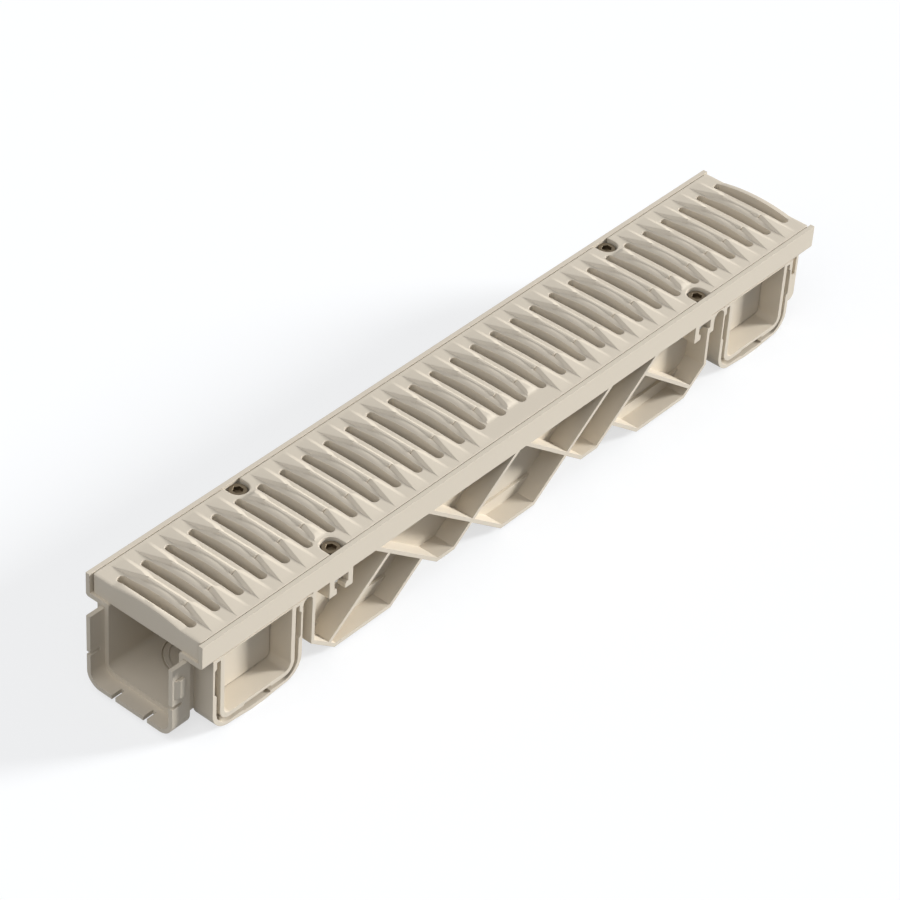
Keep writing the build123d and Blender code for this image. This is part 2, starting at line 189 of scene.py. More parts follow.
def measure(name, description, default, **limits):
    """A length that the user can change."""
    return FloatProperty(name=name, description=description, default=default, subtype="DISTANCE",
                         unit="LENGTH", precision=5, **limits)


class MouldingSettings(bpy.types.PropertyGroup):
    edge_round: measure(
        "Edge radius", "Radius that the light shows on the moulded edges", 0.4 * MM, min=0.0, max=3 * MM)
    edge_angle: FloatProperty(
        name="Edge angle", description="Edges sharper than this stay crisp",
        default=math.radians(22), min=0.0, max=math.pi, subtype="ANGLE")


class GrateSettings(bpy.types.PropertyGroup):
    slot_count: IntProperty(name="Slots", description="Number of slots along the grate", default=30, min=6)
    slot_pitch: measure("Pitch", "Distance from one slot to the next", 33.35 * MM)
    slot_width: measure("Slot width", "Width of a slot along the grate", 10.5 * MM)
    slot_length: measure("Slot length", "Length of a slot across the grate", 104 * MM)
    slot_radius: measure("Slot corner radius", "Radius of a slot's round corners", 4.8 * MM)
    end_strip: measure("End strip", "Solid strip before the first slot", 9.5 * MM)
    strip_crown: measure("End crown", "Rise of the end strips' crown", 5.0 * MM)
    crown_height: measure("Bar crown", "Rise of a bar's crown", 4.9 * MM)
    ridge_height: measure("Ridge", "Height of the ridge on a bar", 5.48 * MM)
    ramp_height: measure("Ramp", "Height of the ramps' tips", 5.5 * MM)
    edge_radius: measure("Edge radius", "Radius on the edges of the slots and of the grate", 0.5 * MM)
    crease_radius: measure("Crease radius", "How softly one face of a bar runs into the next", 0.4 * MM)


class FixingSettings(bpy.types.PropertyGroup):
    shank_radius: measure("Shank radius", "Outer radius of the screw's thread", 6.0 * MM)
    thread_pitch: measure("Thread pitch", "Rise of the screw thread in one turn", 1.75 * MM)
    thread_depth: measure("Thread depth", "Depth of the screw thread", 0.8 * MM)
    head_chamfer: measure("Head chamfer", "Width of the chamfer on the screw's head", 0.8 * MM)
    socket_width: measure("Socket width", "Width of the hexagon socket across its flats", 10.5 * MM)
    socket_depth: measure("Socket depth", "Depth of the hexagon socket", 5.0 * MM)


class FinishSettings(bpy.types.PropertyGroup):
    polymer: StringProperty(
        name="Moulded plastic", description="sRGB colour of the channel and the grate", default="D3C9B8")
    steel: StringProperty(
        name="Screw steel", description="sRGB colour of the oiled screws", default="6E6250")
    nut_steel: StringProperty(
        name="Nut steel", description="sRGB colour of the zinc plated nuts", default="B9B8B2")


class StageSettings(bpy.types.PropertyGroup):
    key_strength: FloatProperty(
        name="Key light", description="Strength of the soft light from the front right", default=4.5, min=0.0)
    key_angle: FloatProperty(
        name="Key softness", description="How wide the key light looks from the object",
        default=math.radians(14), min=0.0, subtype="ANGLE")
    top_strength: FloatProperty(
        name="Top light", description="Strength of the very soft light from the upper left",
        default=1.22, min=0.0)
    top_angle: FloatProperty(
        name="Top softness", description="How wide the top light looks from the object",
        default=math.radians(70), min=0.0, subtype="ANGLE")
    fill_strength: FloatProperty(
        name="Sky", description="Strength of the even light from all round", default=0.24, min=0.0)


# Materials


def linear(hex_colour):
    """The linear colour of an sRGB hex value."""
    channels = [int(hex_colour[at:at + 2], 16) / 255 for at in (0, 2, 4)]
    return tuple(c / 12.92 if c <= 0.04045 else ((c + 0.055) / 1.055) ** 2.4 for c in channels) + (1.0,)


def add_node(tree, kind, settings=None, values=None, links=None):
    """A new node with its settings, its sockets' values and the sockets that feed it."""
    node = tree.nodes.new(kind)
    for name, value in (settings or {}).items():
        setattr(node, name, value)
    for name, value in (values or {}).items():
        node.inputs[name].default_value = value
    for name, source in (links or {}).items():
        tree.links.new(source, node.inputs[name])
    return node


def calculate(tree, operation, *terms):
    """The result of a math node, each of whose terms is a number or another node's socket."""
    values = {at: term for at, term in enumerate(terms) if isinstance(term, float)}
    links = {at: term for at, term in enumerate(terms) if at not in values}
    return add_node(tree, "ShaderNodeMath", {"operation": operation}, values, links).outputs[0]


def new_material(name):
    """An empty material and its node tree."""
    material = bpy.data.materials.new(name)
    material.use_nodes = True
    material.node_tree.nodes.clear()
    return material, material.node_tree


def moulded_plastic(name, hex_colour, edge_round):
    """Glass filled polypropylene or polyamide, injection moulded in a spark eroded tool.

    It gives the eye an even warm sand colour, a soft broad shine and a fine grain.
    """
    material, tree = new_material(name)
    place, colour, rough = patches(tree, hex_colour, CLOUD_SIZE, detail=3.0, spread=0.03,
                                   roughness=(0.48, 0.58))
    grain = add_node(tree, "ShaderNodeTexNoise", values={"Scale": 1 / GRAIN_SIZE, "Detail": 2.0},
                     links={"Vector": place})
    edge = add_node(tree, "ShaderNodeBevel", {"samples": 6}, {"Radius": edge_round})
    bump = add_node(tree, "ShaderNodeBump", values={"Strength": 0.12, "Distance": GRAIN_DEPTH},
                    links={"Height": grain.outputs["Fac"], "Normal": edge.outputs["Normal"]})
    shader = add_node(tree, "ShaderNodeBsdfPrincipled", values={"IOR": 1.49, "Specular IOR Level": 0.3},
                      links={"Base Color": colour, "Roughness": rough, "Normal": bump.outputs["Normal"]})
    add_node(tree, "ShaderNodeOutputMaterial", links={"Surface": shader.outputs["BSDF"]})
    return material


def patches(tree, hex_colour, patch_size, detail, spread, roughness):
    """The place on the object, and a colour and a roughness that change from patch to patch."""
    place = add_node(tree, "ShaderNodeTexCoord").outputs["Object"]
    patch = add_node(tree, "ShaderNodeTexNoise", values={"Scale": 1 / patch_size, "Detail": detail},
                     links={"Vector": place}).outputs["Fac"]
    base = linear(hex_colour)[:3]
    deeper = tuple(c * (1 - spread) for c in base) + (1.0,)
    paler = tuple(min(1.0, c * (1 + spread)) for c in base) + (1.0,)
    colour = add_node(tree, "ShaderNodeMix", {"data_type": "RGBA"}, {6: deeper, 7: paler}, {"Factor": patch})
    rough = add_node(tree, "ShaderNodeMapRange", values={"To Min": roughness[0], "To Max": roughness[1]},
                     links={"Value": patch})
    return place, colour.outputs[2], rough.outputs["Result"]


def plain_metal(name, hex_colour, metallic, roughness, patch_size, spread):
    """A bare metal whose colour and shine change a little from patch to patch."""
    material, tree = new_material(name)
    colour, rough = patches(tree, hex_colour, patch_size, detail=4.0, spread=spread,
                            roughness=roughness)[1:]
    shader = add_node(tree, "ShaderNodeBsdfPrincipled", values={"Metallic": metallic},
                      links={"Base Color": colour, "Roughness": rough})
    add_node(tree, "ShaderNodeOutputMaterial", links={"Surface": shader.outputs["BSDF"]})
    return material


def oiled_steel(name, hex_colour):
    """Hardened steel, blackened in hot oil: a dark brown grey with soft broad glints."""
    return plain_metal(name, hex_colour, metallic=0.9, roughness=(0.28, 0.45), patch_size=4 * MM,
                       spread=0.25)


def zinc_plated_steel(name, hex_colour):
    """Cold formed steel with a thin zinc coat: a cool pale grey, a little cloudy."""
    return plain_metal(name, hex_colour, metallic=1.0, roughness=(0.22, 0.4), patch_size=3 * MM,
                       spread=0.12)


# Pieces


def merged_copy(node, name):
    """A copy of a node's mesh with its doubled points merged, and no stored normals."""
    mesh = frame["nodes"][node].data.copy()
    stored = mesh.attributes.get("custom_normal")
    if stored:
        mesh.attributes.remove(stored)
    shape = bmesh.new()
    shape.from_mesh(mesh)
    bmesh.ops.remove_doubles(shape, verts=shape.verts, dist=MERGE_DISTANCE)
    shape.to_mesh(mesh)
    shape.free()
    return new_piece(name, mesh)


def new_piece(name, mesh):
    """An object of its own for a mesh, in the scene."""
    piece = bpy.data.objects.new(name, mesh)
    mesh.name = name
    bpy.context.scene.collection.objects.link(piece)
    return piece


def apply_modifiers(piece):
    """Turns a piece and its modifiers into a plain mesh."""
    depsgraph = bpy.context.evaluated_depsgraph_get()
    mesh = bpy.data.meshes.new_from_object(
        piece.evaluated_get(depsgraph), preserve_all_data_layers=True, depsgraph=depsgraph)
    piece.modifiers.clear()
    piece.data = mesh
    mesh.name = piece.name


def finish_piece(piece, material, angle):
    """Smooth shading over the curves, crisp at edges sharper than the angle, with one material."""
    mesh = piece.data
    mesh.materials.clear()
    mesh.materials.append(material)
    for polygon in mesh.polygons:
        polygon.material_index = 0
        polygon.use_smooth = True
    mesh.set_sharp_from_angle(angle=angle)
    weighted = piece.modifiers.new("flat faces", "WEIGHTED_NORMAL")
    weighted.keep_sharp = True
    weighted.weight = 80
    apply_modifiers(piece)


class DRAIN_OT_channel(bpy.types.Operator):
    """Give the channel its plastic and its shading"""
    bl_idname = "drain.channel"
    bl_label = "Channel"

    def execute(self, context):
        form = context.scene.drain_moulding
        material = moulded_plastic("channel_polypropylene", context.scene.drain_finish.polymer,
                                   form.edge_round)
        piece = merged_copy("channel_body", "moulded_channel")
        finish_piece(piece, material, form.edge_angle)
        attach(piece, "root")
        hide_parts("channel_body")
        return {"FINISHED"}


# Grate


def crown(across, height, half_width):
    """Height of a circle's arc that is zero at the half width and full on the centre line."""
    if abs(across) >= half_width:
        return 0.0
    radius = (half_width ** 2 + height ** 2) / (2 * height)
    return math.sqrt(radius ** 2 - across ** 2) - radius + height


def ease(value, start, end):
    """0 before the start, 1 after the end and a smooth change between them."""
    share = min(1.0, max(0.0, (value - start) / (end - start)))
    return share * share * (3 - 2 * share)


def mix(first, second, share):
    """The value that lies a share of the way from the first to the second."""
    return first + (second - first) * share


def soft_low(first, second, blend):
    """The lower of two heights, with a round change from one to the other."""
    share = max(blend - abs(first - second), 0.0) / blend
    return min(first, second) - share * share * blend / 4


def soft_high(first, second, blend):
    """The higher of two heights, with a round change from one to the other."""
    return -soft_low(-first, -second, blend)


def steps(*spans):
    """Places along several spans, each given as its end and its number of steps, from zero."""
    places = [0.0]
    for end, count in spans:
        start = places[-1]
        places += [mix(start, end, (at + 1) / count) for at in range(count)]
    return places


class BarForm:
    """The shape of one bar of the grate, read from the user's sizes."""

    def __init__(self, sizes, short_front, short_back):
        self.width = (sizes.slot_pitch - sizes.slot_width) / MM
        self.slot_width = sizes.slot_width / MM
        self.round = sizes.edge_radius / MM
        self.strip_crown = sizes.strip_crown / MM
        self.blend = sizes.crease_radius / MM
        self.crown_height = sizes.crown_height / MM
        self.ridge_height = sizes.ridge_height / MM
        self.ramp_height = sizes.ramp_height / MM
        self.slot_half = sizes.slot_length / MM / 2
        self.slot_radius = sizes.slot_radius / MM
        self.crown_half = self.slot_half - self.slot_radius
        self.short = {-1: short_front, 1: short_back}

    def ramp_share(self, across):
        """How far a place is from the ramp's inner end to its outer end."""
        return min(1.0, max(0.0, (abs(across) - RAMP_INNER) / (RAMP_OUTER - RAMP_INNER)))

    def left_foot(self, across):
        """Where the ridge or the ramp rises on its left."""
        inside = mix(RIDGE_START, RAMP_FOOT, ease(abs(across), FINGER_END - FOOT_TURN, RAMP_INNER))
        return mix(inside, RAMP_START, self.ramp_share(across))

    def crest(self, across):
        """Where the ridge's top ends, or the ramp's crest runs."""
        return mix(RIDGE_CREST, RAMP_START, self.ramp_share(across))

    def right_foot(self, across):
        """Where the ridge or the ramp ends on its right."""
        run = BACK_SIDE_RUN if across > 0 else FRONT_SIDE_RUN
        return mix(RIDGE_CREST + RIDGE_SLOPE, RAMP_END, ease(abs(across), SIDE_TURN, SIDE_TURN + run))

    def right_crease(self, across):
        """Where the ridge's top or the ramp's front turns down to the right."""
        front = self.ramp_height * (1 - self.ramp_share(across))
        return max(self.crest(across), self.right_foot(across) - RAMP_SIDE - front)

    def columns(self, across):
        """Places along the channel of the bar's mesh lines at one place across it."""
        left = self.left_foot(across)
        crest = self.crest(across)
        crease = self.right_crease(across)
        right = self.right_foot(across)
        top_left = mix(left, crest, RIDGE_RISE / (RIDGE_RISE + RIDGE_TOP))
        lip_end = 0.35 * left
        round_at = self.round
        places = [0.0, 0.3 * round_at, round_at, lip_end, mix(lip_end, left, 0.6),
                  left - FOOT_BEFORE, left + FOOT_AFTER, mix(left, top_left, 0.6),
                  top_left - 0.3, top_left + 0.4, crest - 0.4, crest, crest + 0.4,
                  mix(crest, crease, 0.5), crease - 0.3, crease, crease + 0.3,
                  mix(crease, right, 0.5), right - 0.4, right + 0.4,
                  self.width - round_at, self.width - 0.3 * round_at, self.width]
        least = 0.05
        for at in range(1, len(places)):
            places[at] = max(places[at], places[at - 1] + least)
        return places

    def ramp_height_at(self, along, across):
        """Height of the ramp's three facets."""
        out = abs(across)
        share = (RAMP_OUTER - out) / (RAMP_OUTER - RAMP_INNER)
        front = self.ramp_height * share
        left_line = mix(RAMP_START, RAMP_FOOT, share)
        riser = RAMP_RISER * share
        left = riser + (along - left_line) * (self.ramp_height - riser) / (RIDGE_CREST - RAMP_FOOT)
        left = min(left, RISER_SLOPE * (along - left_line))
        foot = self.right_foot(across)
        right = (foot - along) * front / (foot - self.right_crease(across))
        height = soft_low(soft_low(left, front, self.blend), right, self.blend)
        if self.short[1 if across > 0 else -1]:
            bevel = (self.crown_half + SHORT_BEVEL_GAP - out) * math.tan(SHORT_BEVEL)
            height = soft_low(height, bevel, self.blend)
        return height

    def ridge_height_at(self, along):
        """Height of the ridge's riser, top and slope."""
        rise = self.ridge_height - self.crown_height / 2
        riser = self.ridge_height + (along - RIDGE_START - RIDGE_RISE) * rise / RIDGE_RISE
        slope = (RIDGE_CREST + RIDGE_SLOPE - along) * self.ridge_height / RIDGE_SLOPE
        return soft_low(soft_low(riser, self.ridge_height, self.blend), slope, self.blend)

    def height(self, along, across):
        """Height of the bar's top above the rim."""
        out = abs(across)
        foot = self.left_foot(across)
        land = 0.0
        if along <= RIDGE_START + RIDGE_RISE:
            lip = LIP_DROP * (1 - min(along / LIP_WIDTH, 1.0)) ** LIP_CURVE
            land = max(crown(across, self.crown_height, self.crown_half) - lip, 0.0)
            land *= max(1 - ease(along, foot - FOOT_BEFORE, foot + FOOT_AFTER),
                        1 - ease(out, FINGER_END - FINGER_ROUND, FINGER_END))
        face = RAMP_INNER - FACE_BEFORE
        top = max(self.ridge_height_at(along) * (1 - ease(out, face, RAMP_INNER + FACE_AFTER)), 0.0)
        if land > LEAST_LAND:
            top = soft_high(top, land, self.blend / 2)
        ramp = 0.0
        if out > face:
            ramp = self.ramp_height_at(along, across) * ease(out, face, RAMP_INNER)
        return max(top, ramp, crown(across, BASE_CROWN, self.crown_half))


def slot_distance(along, across, form):
    """Distance of a place outside a slot from the slot's edge."""
    x = abs(along - form.slot_width / 2) - (form.slot_width / 2 - form.slot_radius)
    y = abs(across) - form.crown_half
    return math.hypot(max(x, 0.0), max(y, 0.0)) + min(max(x, y), 0.0) - form.slot_radius


def rounded_drop(distance, radius):
    """How far a round edge has fallen at a distance from the edge's face."""
    if distance >= radius:
        return 0.0
    inside = radius - max(distance, 0.0)
    return radius - math.sqrt(max(radius ** 2 - inside ** 2, 0.0))


def rows_across(form, half_width):
    """Places across the channel of the grate's mesh lines, from the front edge to the back."""
    edge = form.round
    half = steps((FINGER_END - 3.5, 5), (FINGER_END + 0.2, 4), (RAMP_INNER - FACE_BEFORE, 2),
                 (RAMP_INNER + FACE_AFTER, 2), (RAMP_INNER + 3, 2),
                 (form.crown_half, 6), (form.crown_half + edge, 3),
                 (form.slot_half + edge, 3), (RAMP_OUTER, 5), (half_width - edge, 1),
                 (half_width - 0.3 * edge, 1), (half_width, 1))
    return [-place for place in half[:0:-1]] + half


def add_grid(shape, lines, place=(0, 0, 0)):
    """Faces between neighbouring lines of points, moved to a place."""
    rows = [[shape.verts.new(Vector(point) + Vector(place)) for point in line] for line in lines]
    for first, second in zip(rows, rows[1:]):
        for at in range(len(first) - 1):
            shape.faces.new((first[at], first[at + 1], second[at + 1], second[at]))


def drop_at(along, across, form, half_width):
    """Fall of the top at the round edges of the slots and of the grate's two long sides."""
    pitch = form.width + form.slot_width
    left_slot = slot_distance(along, across, form)
    right_slot = slot_distance(along - pitch, across, form)
    return max(rounded_drop(min(left_slot, right_slot), form.round),
               rounded_drop(half_width - abs(across), form.round))


def slot_end_lines(form, half_width, rows, side):
    """Lines of points round one end of a slot, from the slot's left edge to its right one."""
    lines = []
    inner = form.crown_half
    for at in range(SLOT_END_LINES):
        turn = math.pi * at / (SLOT_END_LINES - 1)
        middle_x = form.slot_radius if turn < math.pi / 2 else form.slot_width - form.slot_radius
        x = middle_x - form.slot_radius * math.cos(turn)
        shift = form.slot_radius * math.sin(turn)
        line = []
        for row in rows:
            if row < inner - 1e-6:
                continue
            fade = min(1.0, (half_width - form.round - row) / (half_width - form.round - inner))
            y = row + shift * max(fade, 0.0) ** 0.5
            z = -max(rounded_drop(slot_distance(x, y, form), form.round),
                     rounded_drop(half_width - y, form.round))
            line.append((x * MM, side * y * MM, z * MM))
        lines.append(line if side > 0 else line[::-1])
    return lines


def strip_lines(form, half_width, rows, start, end, slot_at_start, sloped):
    """Lines of points over one end strip of the grate, between a slot and the grate's end."""
    length = end - start
    edge = form.round
    far = END_ROUND
    if slot_at_start:
        places = [0.0, 0.3 * edge, edge, length - far, length - 0.3 * far, length]
    else:
        places = [0.0, 0.3 * far, far, mix(far, length - edge, 0.5),
                  length - edge, length - 0.3 * edge, length]
    lines = []
    for row in rows:
        line = []
        for place in places:
            x = start + place
            from_end = length - place if slot_at_start else place
            height = crown(row, form.strip_crown, form.crown_half)
            if sloped:
                slope = form.strip_crown - (x + END_SLOPE_RUN) * form.ridge_height / RIDGE_SLOPE
                height = soft_low(height, max(slope, 0.0), form.blend)
            limit = half_width - rounded_drop(from_end, CORNER_RADIUS)
            y = row if abs(row) < RAMP_OUTER else math.copysign(
                mix(RAMP_OUTER, limit, (abs(row) - RAMP_OUTER) / (half_width - RAMP_OUTER)), row)
            drop = max(rounded_drop(slot_distance(x, row, form), edge), rounded_drop(from_end, far),
                       rounded_drop(half_width - abs(row), edge))
            line.append((x * MM, y * MM, (height - drop) * MM))
        lines.append(line)
    return lines


def bar_object(name, form, half_width, rows):
    """One bar with the ends of the slot on its left, drawn from that slot's left edge."""
    shape = bmesh.new()
    lines = []
    for row in rows:
        line = []
        for along in form.columns(row):
            x = form.slot_width + along
            z = form.height(along, row) - drop_at(x, row, form, half_width)
            line.append((x * MM, row * MM, z * MM))
        lines.append(line)
    add_grid(shape, lines)
    for side in (-1, 1):
        add_grid(shape, slot_end_lines(form, half_width, rows, side))
    bmesh.ops.remove_doubles(shape, verts=shape.verts, dist=MERGE_DISTANCE / 10)
    mesh = bpy.data.meshes.new(name)
    shape.to_mesh(mesh)
    shape.free()
    return bpy.data.objects.new(name, mesh)


def new_tree(name, sockets):
    """An empty geometry tree with the named inputs and a geometry output."""
    tree = bpy.data.node_groups.new(name, "GeometryNodeTree")
    tree.interface.new_socket("Geometry", in_out="OUTPUT", socket_type="NodeSocketGeometry")
    for label, kind in sockets.items():
        tree.interface.new_socket(label, in_out="INPUT", socket_type=kind)
    return tree, add_node(tree, "NodeGroupInput").outputs


def grown_mesh(name, tree, values):
    """The plain mesh that a geometry tree makes from the given inputs."""
    host = new_piece(name, bpy.data.meshes.new(name + "_seed"))
    modifier = host.modifiers.new(tree.name, "NODES")
    modifier.node_group = tree
    for item in tree.interface.items_tree:
        if item.in_out == "INPUT" and item.name in values:
            modifier[item.identifier] = values[item.name]
    grown = host.evaluated_get(bpy.context.evaluated_depsgraph_get())
    mesh = bpy.data.meshes.new_from_object(grown)
    mesh.name = name
    bpy.data.objects.remove(host)
    return mesh


def bars_tree():
    """Sets the bars along the grate, with the short ones at the screws and at the bare margin."""
    tree, given = new_tree("repeat_bars", {
        "Bars": "NodeSocketCollection", "Count": "NodeSocketInt", "Pitch": "NodeSocketFloat",
        "First place": "NodeSocketVector", "Left screw bar": "NodeSocketInt",
        "Right screw bar": "NodeSocketInt", "First plain bar": "NodeSocketInt",
        "Last plain bar": "NodeSocketInt"})
    step = add_node(tree, "ShaderNodeCombineXYZ", links={"X": given["Pitch"]})
    line = add_node(tree, "GeometryNodeMeshLine", {"mode": "OFFSET"},
                    links={"Count": given["Count"], "Start Location": given["First place"],
                           "Offset": step.outputs["Vector"]})
    index = add_node(tree, "GeometryNodeInputIndex").outputs["Index"]
    left = calculate(tree, "COMPARE", index, given["Left screw bar"], 0.5)
    right = calculate(tree, "COMPARE", index, given["Right screw bar"], 0.5)
    screw = calculate(tree, "ADD", left, right)
    before = calculate(tree, "LESS_THAN", index, given["First plain bar"])
    after = calculate(tree, "GREATER_THAN", index, given["Last plain bar"])
    plain = calculate(tree, "MULTIPLY_ADD", calculate(tree, "ADD", before, after), -2.0, 2.0)
    bars = add_node(tree, "GeometryNodeCollectionInfo",
                    values={"Separate Children": True, "Reset Children": True},
                    links={"Collection": given["Bars"]})
    set_out = add_node(tree, "GeometryNodeInstanceOnPoints", values={"Pick Instance": True},
                       links={"Points": line.outputs["Mesh"], "Instance": bars.outputs[0],
                              "Instance Index": calculate(tree, "ADD", screw, plain)})
    real = add_node(tree, "GeometryNodeRealizeInstances", links={"Geometry": set_out.outputs["Instances"]})
    add_node(tree, "NodeGroupOutput", links={"Geometry": real.outputs["Geometry"]})
    return tree


def close_below(shape, bottom):
    """Walls down from every open edge, and the flat underside between them."""
    bmesh.ops.remove_doubles(shape, verts=shape.verts, dist=MERGE_DISTANCE)
    rim = [edge for edge in shape.edges if edge.is_boundary]
    grown = bmesh.ops.extrude_edge_only(shape, edges=rim)["geom"]
    for vert in grown:
        if isinstance(vert, bmesh.types.BMVert):
            vert.co.z = bottom
    low = [edge for edge in grown if isinstance(edge, bmesh.types.BMEdge)]
    bmesh.ops.triangle_fill(shape, edges=low, use_beauty=True, normal=(0, 0, -1))
    bmesh.ops.recalc_face_normals(shape, faces=shape.faces)


def add_box(shape, low, high):
    """A box between two corners."""
    made = bmesh.ops.create_cube(shape, size=1.0)["verts"]
    low = Vector(low)
    high = Vector(high)
    for vert in made:
        vert.co = Vector(mix(low[axis], high[axis], vert.co[axis] + 0.5) for axis in range(3))


def add_stack(shape, rings):
    """A closed solid through rings of points, each one above the last."""
    loops = [[shape.verts.new(point) for point in ring] for ring in rings]
    count = len(loops[0])
    for lower, upper in zip(loops, loops[1:]):
        for at in range(count):
            after = (at + 1) % count
            shape.faces.new((lower[at], lower[after], upper[after], upper[at]))
    shape.faces.new(loops[0][::-1])
    shape.faces.new(loops[-1])


def u_ring(radius, centre_y, edge_y, z, count=16):
    """A U round a screw's place, open towards the grate's edge."""
    side = 1 if edge_y > centre_y else -1
    ring = [(radius, edge_y, z)]
    for at in range(count + 1):
        turn = math.pi * at / count
        ring.append((radius * math.cos(turn), centre_y - side * radius * math.sin(turn), z))
    ring.append((-radius, edge_y, z))
    return ring if side > 0 else ring[::-1]


def cut_away(piece, shape, name):
    """Takes a solid away from a piece, for good."""
    bmesh.ops.recalc_face_normals(shape, faces=shape.faces)
    mesh = bpy.data.meshes.new(name)
    shape.to_mesh(mesh)
    shape.free()
    cutter = new_piece(name, mesh)
    modifier = piece.modifiers.new(name, "BOOLEAN")
    modifier.operation = "DIFFERENCE"
    modifier.solver = "MANIFOLD"
    modifier.object = cutter
    faces_before = len(piece.data.polygons)
    apply_modifiers(piece)
    if len(piece.data.polygons) == faces_before:
        raise RuntimeError(f"{name} cut nothing from {piece.name}")
    bpy.data.objects.remove(cutter)


class DRAIN_OT_grate(bpy.types.Operator):
    """Build the grate from its repeated bars, with the recesses for its screws"""
    bl_idname = "drain.grate"
    bl_label = "Grate"

    def execute(self, context):
        sizes = context.scene.drain_grate
        material = moulded_plastic("grate_polyamide", context.scene.drain_finish.polymer,
                                   context.scene.drain_moulding.edge_round)
        low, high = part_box("grate")
        half_width = high[1] / MM
        first_x = low[0] + sizes.end_strip
        form = BarForm(sizes, False, False)
        rows = rows_across(form, half_width)
        shape = bmesh.new()
        mesh = self.repeated_bars(context, sizes, half_width, rows, first_x)
        shape.from_mesh(mesh)
        self.draw_ends(mesh, sizes, form, half_width, rows, first_x, high[0])
        shape.from_mesh(mesh)
        close_below(shape, low[2])
        shape.to_mesh(mesh)
        shape.free()
        piece = new_piece("moulded_grate", mesh)
        self.cut_pockets(piece, sizes, form, first_x, low[2])
        self.cut_screw_places(piece, half_width)
        finish_piece(piece, material, SHARP_ANGLE)
        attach(piece, "root")
        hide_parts("grate")
        return {"FINISHED"}

    def repeated_bars(self, context, sizes, half_width, rows, first_x):
        """The mesh of all bars, set out from one bar of each kind."""
        bars = bpy.data.collections.new("bars")
        context.scene.collection.children.link(bars)
        for name, short_front, short_back in BAR_KINDS:
            form = BarForm(sizes, short_front, short_back)
            bars.objects.link(bar_object(name, form, half_width, rows))
        mesh = grown_mesh("moulded_grate", bars_tree(), {
            "Bars": bars, "Count": sizes.slot_count - 1, "Pitch": sizes.slot_pitch,
            "First place": (first_x, 0.0, RIM_TOP), "Left screw bar": SCREW_BARS[0],
            "Right screw bar": SCREW_BARS[1], "First plain bar": PLAIN_BARS[0],
            "Last plain bar": PLAIN_BARS[1]})
        for bar in list(bars.objects):
            bpy.data.objects.remove(bar)
        bpy.data.collections.remove(bars)
        return mesh

    def draw_ends(self, mesh, sizes, form, half_width, rows, first_x, end_x):
        """Draws the two end strips and the ends of the last slot into a mesh."""
        last_x = first_x + (sizes.slot_count - 1) * sizes.slot_pitch
        left = strip_lines(form, half_width, rows, -sizes.end_strip / MM, 0.0,
                           slot_at_start=False, sloped=True)
        right = strip_lines(form, half_width, rows, form.slot_width, (end_x - last_x) / MM,
                            slot_at_start=True, sloped=False)
        ends = bmesh.new()
        add_grid(ends, left, (first_x, 0, RIM_TOP))
        add_grid(ends, right, (last_x, 0, RIM_TOP))
        for side in (-1, 1):
            add_grid(ends, slot_end_lines(form, half_width, rows, side), (last_x, 0, RIM_TOP))
        ends.to_mesh(mesh)
        ends.free()

    def cut_pockets(self, piece, sizes, form, first_x, bottom):
        """The hollows that leave each bar a skin, two webs and a spine."""
        shape = bmesh.new()
        for at in range(sizes.slot_count - 1):
            x = first_x + at * sizes.slot_pitch + sizes.slot_width
            for side in (-1, 1):
                near = side * SPINE_WIDTH / 2
                far = side * POCKET_END
                add_box(shape, (x + GRATE_WEB, min(near, far), bottom - MM),
                        (x + form.width * MM - GRATE_WEB, max(near, far), RIM_TOP - GRATE_SKIN))
        cut_away(piece, shape, "pockets")

    def cut_screw_places(self, piece, half_width):
        """The U recesses with their round rims, and the holes for the screws."""
        recesses = bmesh.new()
        holes = bmesh.new()
        floor = RIM_TOP - RECESS_DEPTH
        rim = RECESS_RIM
        levels = [(floor, 0.0), (RIM_TOP - rim, 0.0), (RIM_TOP - 0.3 * rim, 0.3 * rim), (RIM_TOP, rim),
                  (RIM_TOP + RECESS_TOP, rim)]
        turns = [math.tau * at / HOLE_SIDES for at in range(HOLE_SIDES)]
        for node in SCREW_NODES:
            centre = middle(node)
            edge_y = math.copysign(half_width * MM + CUT_PAST, centre.y)
            rings = [u_ring(RECESS_RADIUS + out, centre.y, edge_y, z) for z, out in levels]
            add_stack(recesses, [[(centre.x + x, y, z) for x, y, z in ring] for ring in rings])
            add_stack(holes, [[(centre.x + HOLE_RADIUS * math.cos(turn),
                                centre.y + HOLE_RADIUS * math.sin(turn), z) for turn in turns]
                              for z in (RIM_TOP - HOLE_BOTTOM, floor + CUT_PAST)])
        cut_away(piece, recesses, "recesses")
        cut_away(piece, holes, "screw_holes")


# Screws and nuts


def hexagon_reach(turn, across_flats):
    """Distance from a hexagon's middle to its side in one direction."""
    sector = (turn + math.pi / 6) % (math.pi / 3) - math.pi / 6
    return across_flats / 2 / math.cos(sector)


def add_turned(shape, profile, closed, count=48):
    """A solid of rings, each a radius and a height that may change with the turn."""
    rings = []
    for radius, height in profile:
        ring = []
        for at in range(count):
            turn = math.tau * at / count
            reach = radius(turn) if callable(radius) else radius
            z = height(turn) if callable(height) else height
            ring.append(shape.verts.new((reach * math.cos(turn), reach * math.sin(turn), z)))
        rings.append(ring)
    pairs = list(zip(rings, rings[1:])) + ([(rings[-1], rings[0])] if closed else [])
    for lower, upper in pairs:
        for at in range(count):
            after = (at + 1) % count
            shape.faces.new((lower[at], lower[after], upper[after], upper[at]))
    if not closed:
        shape.faces.new(rings[0][::-1])
        shape.faces.new(rings[-1])
    bmesh.ops.recalc_face_normals(shape, faces=shape.faces)


